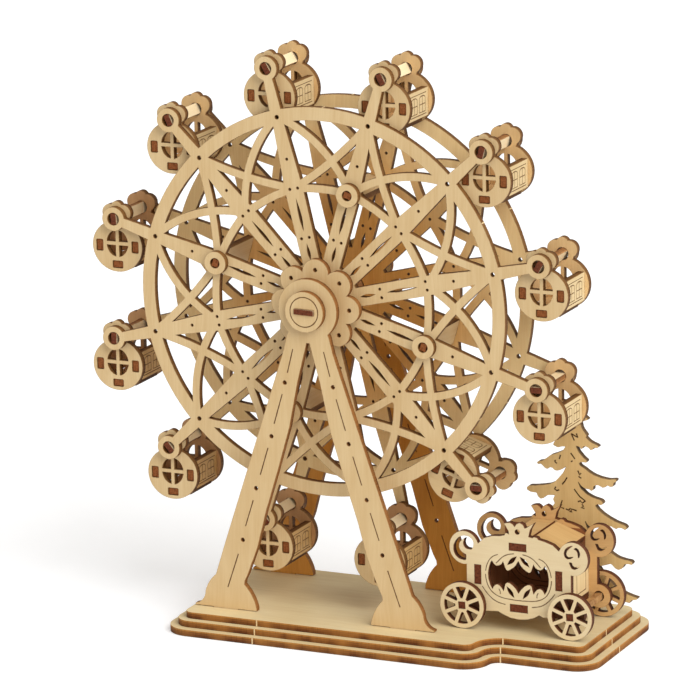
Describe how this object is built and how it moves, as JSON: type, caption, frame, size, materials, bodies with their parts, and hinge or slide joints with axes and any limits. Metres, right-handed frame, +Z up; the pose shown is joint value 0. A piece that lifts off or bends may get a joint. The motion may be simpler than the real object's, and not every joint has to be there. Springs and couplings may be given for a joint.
{
  "type": "wooden ferris wheel puzzle model",
  "caption": "Laser-cut plywood ferris wheel on an A-frame stand, with swinging cabins, a wheeled coach and a pine tree.",
  "frame": {"origin": "on the underside of the base, straight below the wheel's hub", "axes": "+Z up, front of the toy towards -Y, the coach on the +X side, the wheel's axle along Y"},
  "size_m": [0.2848, 0.1082, 0.2971],
  "materials": {
    "base_board_bottom_wood": "bare laser-cut plywood with darkened cut edges",
    "base_board_middle_wood": "bare laser-cut plywood with darkened cut edges",
    "base_board_top_wood": "bare laser-cut plywood with darkened cut edges",
    "front_leg_frame_wood": "bare laser-cut plywood with darkened cut edges",
    "rear_leg_frame_wood": "bare laser-cut plywood with darkened cut edges",
    "pine_tree_wood": "bare laser-cut plywood with darkened cut edges",
    "coach_near_side_wood": "bare laser-cut plywood with darkened cut edges",
    "coach_far_side_wood": "bare laser-cut plywood with darkened cut edges",
    "coach_tub_wood": "bare laser-cut plywood with darkened cut edges",
    "coach_roof_wood": "bare laser-cut plywood with darkened cut edges",
    "front_wheel_plate_wood": "bare laser-cut plywood with darkened cut edges",
    "rear_wheel_plate_wood": "bare laser-cut plywood with darkened cut edges",
    "wheel_axle_wood": "bare laser-cut plywood with darkened cut edges",
    "front_hub_cap_wood": "bare laser-cut plywood with darkened cut edges",
    "rear_hub_cap_wood": "bare laser-cut plywood with darkened cut edges",
    "front_rosette_wood": "bare laser-cut plywood with darkened cut edges",
    "rear_rosette_wood": "bare laser-cut plywood with darkened cut edges",
    "cross_tie_1_wood": "bare laser-cut plywood with darkened cut edges",
    "cross_tie_2_wood": "bare laser-cut plywood with darkened cut edges",
    "cross_tie_3_wood": "bare laser-cut plywood with darkened cut edges",
    "cross_tie_4_wood": "bare laser-cut plywood with darkened cut edges",
    "gondola_01_front_plate_wood": "bare laser-cut plywood with darkened cut edges",
    "gondola_01_rear_shell_wood": "bare laser-cut plywood with darkened cut edges",
    "gondola_01_rod_wood": "bare laser-cut plywood with darkened cut edges",
    "gondola_02_front_plate_wood": "bare laser-cut plywood with darkened cut edges",
    "gondola_02_rear_shell_wood": "bare laser-cut plywood with darkened cut edges",
    "gondola_02_rod_wood": "bare laser-cut plywood with darkened cut edges",
    "gondola_03_front_plate_wood": "bare laser-cut plywood with darkened cut edges",
    "gondola_03_rear_shell_wood": "bare laser-cut plywood with darkened cut edges",
    "gondola_03_rod_wood": "bare laser-cut plywood with darkened cut edges",
    "gondola_04_front_plate_wood": "bare laser-cut plywood with darkened cut edges",
    "gondola_04_rear_shell_wood": "bare laser-cut plywood with darkened cut edges",
    "gondola_04_rod_wood": "bare laser-cut plywood with darkened cut edges",
    "gondola_05_front_plate_wood": "bare laser-cut plywood with darkened cut edges",
    "gondola_05_rear_shell_wood": "bare laser-cut plywood with darkened cut edges",
    "gondola_05_rod_wood": "bare laser-cut plywood with darkened cut edges",
    "gondola_06_front_plate_wood": "bare laser-cut plywood with darkened cut edges",
    "gondola_06_rear_shell_wood": "bare laser-cut plywood with darkened cut edges",
    "gondola_06_rod_wood": "bare laser-cut plywood with darkened cut edges",
    "gondola_07_front_plate_wood": "bare laser-cut plywood with darkened cut edges",
    "gondola_07_rear_shell_wood": "bare laser-cut plywood with darkened cut edges",
    "gondola_07_rod_wood": "bare laser-cut plywood with darkened cut edges",
    "gondola_08_front_plate_wood": "bare laser-cut plywood with darkened cut edges",
    "gondola_08_rear_shell_wood": "bare laser-cut plywood with darkened cut edges",
    "gondola_08_rod_wood": "bare laser-cut plywood with darkened cut edges",
    "gondola_09_front_plate_wood": "bare laser-cut plywood with darkened cut edges",
    "gondola_09_rear_shell_wood": "bare laser-cut plywood with darkened cut edges",
    "gondola_09_rod_wood": "bare laser-cut plywood with darkened cut edges",
    "gondola_10_front_plate_wood": "bare laser-cut plywood with darkened cut edges",
    "gondola_10_rear_shell_wood": "bare laser-cut plywood with darkened cut edges",
    "gondola_10_rod_wood": "bare laser-cut plywood with darkened cut edges",
    "gondola_11_front_plate_wood": "bare laser-cut plywood with darkened cut edges",
    "gondola_11_rear_shell_wood": "bare laser-cut plywood with darkened cut edges",
    "gondola_11_rod_wood": "bare laser-cut plywood with darkened cut edges",
    "gondola_12_front_plate_wood": "bare laser-cut plywood with darkened cut edges",
    "gondola_12_rear_shell_wood": "bare laser-cut plywood with darkened cut edges",
    "gondola_12_rod_wood": "bare laser-cut plywood with darkened cut edges",
    "coach_rear_wheelset_wood": "bare laser-cut plywood with darkened cut edges",
    "coach_front_wheelset_wood": "bare laser-cut plywood with darkened cut edges"
  },
  "bodies": {
    "stand": {"base_board_bottom": "base_board_bottom_wood", "base_board_middle": "base_board_middle_wood", "base_board_top": "base_board_top_wood", "front_leg_frame": "front_leg_frame_wood", "rear_leg_frame": "rear_leg_frame_wood", "pine_tree": "pine_tree_wood", "coach_near_side": "coach_near_side_wood", "coach_far_side": "coach_far_side_wood", "coach_tub": "coach_tub_wood", "coach_roof": "coach_roof_wood"},
    "wheel": {"front_wheel_plate": "front_wheel_plate_wood", "rear_wheel_plate": "rear_wheel_plate_wood", "wheel_axle": "wheel_axle_wood", "front_hub_cap": "front_hub_cap_wood", "rear_hub_cap": "rear_hub_cap_wood", "front_rosette": "front_rosette_wood", "rear_rosette": "rear_rosette_wood", "cross_tie_1": "cross_tie_1_wood", "cross_tie_2": "cross_tie_2_wood", "cross_tie_3": "cross_tie_3_wood", "cross_tie_4": "cross_tie_4_wood"},
    "gondola_01": {"gondola_01_front_plate": "gondola_01_front_plate_wood", "gondola_01_rear_shell": "gondola_01_rear_shell_wood", "gondola_01_rod": "gondola_01_rod_wood"},
    "gondola_02": {"gondola_02_front_plate": "gondola_02_front_plate_wood", "gondola_02_rear_shell": "gondola_02_rear_shell_wood", "gondola_02_rod": "gondola_02_rod_wood"},
    "gondola_03": {"gondola_03_front_plate": "gondola_03_front_plate_wood", "gondola_03_rear_shell": "gondola_03_rear_shell_wood", "gondola_03_rod": "gondola_03_rod_wood"},
    "gondola_04": {"gondola_04_front_plate": "gondola_04_front_plate_wood", "gondola_04_rear_shell": "gondola_04_rear_shell_wood", "gondola_04_rod": "gondola_04_rod_wood"},
    "gondola_05": {"gondola_05_front_plate": "gondola_05_front_plate_wood", "gondola_05_rear_shell": "gondola_05_rear_shell_wood", "gondola_05_rod": "gondola_05_rod_wood"},
    "gondola_06": {"gondola_06_front_plate": "gondola_06_front_plate_wood", "gondola_06_rear_shell": "gondola_06_rear_shell_wood", "gondola_06_rod": "gondola_06_rod_wood"},
    "gondola_07": {"gondola_07_front_plate": "gondola_07_front_plate_wood", "gondola_07_rear_shell": "gondola_07_rear_shell_wood", "gondola_07_rod": "gondola_07_rod_wood"},
    "gondola_08": {"gondola_08_front_plate": "gondola_08_front_plate_wood", "gondola_08_rear_shell": "gondola_08_rear_shell_wood", "gondola_08_rod": "gondola_08_rod_wood"},
    "gondola_09": {"gondola_09_front_plate": "gondola_09_front_plate_wood", "gondola_09_rear_shell": "gondola_09_rear_shell_wood", "gondola_09_rod": "gondola_09_rod_wood"},
    "gondola_10": {"gondola_10_front_plate": "gondola_10_front_plate_wood", "gondola_10_rear_shell": "gondola_10_rear_shell_wood", "gondola_10_rod": "gondola_10_rod_wood"},
    "gondola_11": {"gondola_11_front_plate": "gondola_11_front_plate_wood", "gondola_11_rear_shell": "gondola_11_rear_shell_wood", "gondola_11_rod": "gondola_11_rod_wood"},
    "gondola_12": {"gondola_12_front_plate": "gondola_12_front_plate_wood", "gondola_12_rear_shell": "gondola_12_rear_shell_wood", "gondola_12_rod": "gondola_12_rod_wood"},
    "coach_rear_wheelset": {"coach_rear_wheelset": "coach_rear_wheelset_wood"},
    "coach_front_wheelset": {"coach_front_wheelset": "coach_front_wheelset_wood"}
  },
  "joints": [
    {"name": "wheel_spin", "type": "hinge", "parent": "stand", "child": "wheel", "pos_m": [0, 0, 0.1706], "axis": [0, 1, 0], "continuous": true},
    {"name": "gondola_01_swing", "type": "hinge", "parent": "wheel", "child": "gondola_01", "pos_m": [0.0346, 0, 0.28665], "axis": [0, 1, 0], "continuous": true},
    {"name": "gondola_02_swing", "type": "hinge", "parent": "wheel", "child": "gondola_02", "pos_m": [0.08799, 0, 0.25381], "axis": [0, 1, 0], "continuous": true},
    {"name": "gondola_03_swing", "type": "hinge", "parent": "wheel", "child": "gondola_03", "pos_m": [0.1178, 0, 0.19867], "axis": [0, 1, 0], "continuous": true},
    {"name": "gondola_04_swing", "type": "hinge", "parent": "wheel", "child": "gondola_04", "pos_m": [0.11605, 0, 0.136], "axis": [0, 1, 0], "continuous": true},
    {"name": "gondola_05_swing", "type": "hinge", "parent": "wheel", "child": "gondola_05", "pos_m": [0.08321, 0, 0.08261], "axis": [0, 1, 0], "continuous": true},
    {"name": "gondola_06_swing", "type": "hinge", "parent": "wheel", "child": "gondola_06", "pos_m": [0.02806, 0, 0.0528], "axis": [0, 1, 0], "continuous": true},
    {"name": "gondola_07_swing", "type": "hinge", "parent": "wheel", "child": "gondola_07", "pos_m": [-0.0346, 0, 0.05455], "axis": [0, 1, 0], "continuous": true},
    {"name": "gondola_08_swing", "type": "hinge", "parent": "wheel", "child": "gondola_08", "pos_m": [-0.08799, 0, 0.08739], "axis": [0, 1, 0], "continuous": true},
    {"name": "gondola_09_swing", "type": "hinge", "parent": "wheel", "child": "gondola_09", "pos_m": [-0.1178, 0, 0.14253], "axis": [0, 1, 0], "continuous": true},
    {"name": "gondola_10_swing", "type": "hinge", "parent": "wheel", "child": "gondola_10", "pos_m": [-0.11605, 0, 0.2052], "axis": [0, 1, 0], "continuous": true},
    {"name": "gondola_11_swing", "type": "hinge", "parent": "wheel", "child": "gondola_11", "pos_m": [-0.08321, 0, 0.25859], "axis": [0, 1, 0], "continuous": true},
    {"name": "gondola_12_swing", "type": "hinge", "parent": "wheel", "child": "gondola_12", "pos_m": [-0.02806, 0, 0.2884], "axis": [0, 1, 0], "continuous": true},
    {"name": "coach_rear_wheelset_spin", "type": "hinge", "parent": "stand", "child": "coach_rear_wheelset", "pos_m": [0.0766, 0, 0.0224], "axis": [0, 1, 0], "continuous": true},
    {"name": "coach_front_wheelset_spin", "type": "hinge", "parent": "stand", "child": "coach_front_wheelset", "pos_m": [0.1348, 0, 0.0224], "axis": [0, 1, 0], "continuous": true}
  ],
  "couplings": [
    {"joint": "gondola_01_swing", "follows": "wheel_spin", "ratio": -1},
    {"joint": "gondola_02_swing", "follows": "wheel_spin", "ratio": -1},
    {"joint": "gondola_03_swing", "follows": "wheel_spin", "ratio": -1},
    {"joint": "gondola_04_swing", "follows": "wheel_spin", "ratio": -1},
    {"joint": "gondola_05_swing", "follows": "wheel_spin", "ratio": -1},
    {"joint": "gondola_06_swing", "follows": "wheel_spin", "ratio": -1},
    {"joint": "gondola_07_swing", "follows": "wheel_spin", "ratio": -1},
    {"joint": "gondola_08_swing", "follows": "wheel_spin", "ratio": -1},
    {"joint": "gondola_09_swing", "follows": "wheel_spin", "ratio": -1},
    {"joint": "gondola_10_swing", "follows": "wheel_spin", "ratio": -1},
    {"joint": "gondola_11_swing", "follows": "wheel_spin", "ratio": -1},
    {"joint": "gondola_12_swing", "follows": "wheel_spin", "ratio": -1}
  ]
}
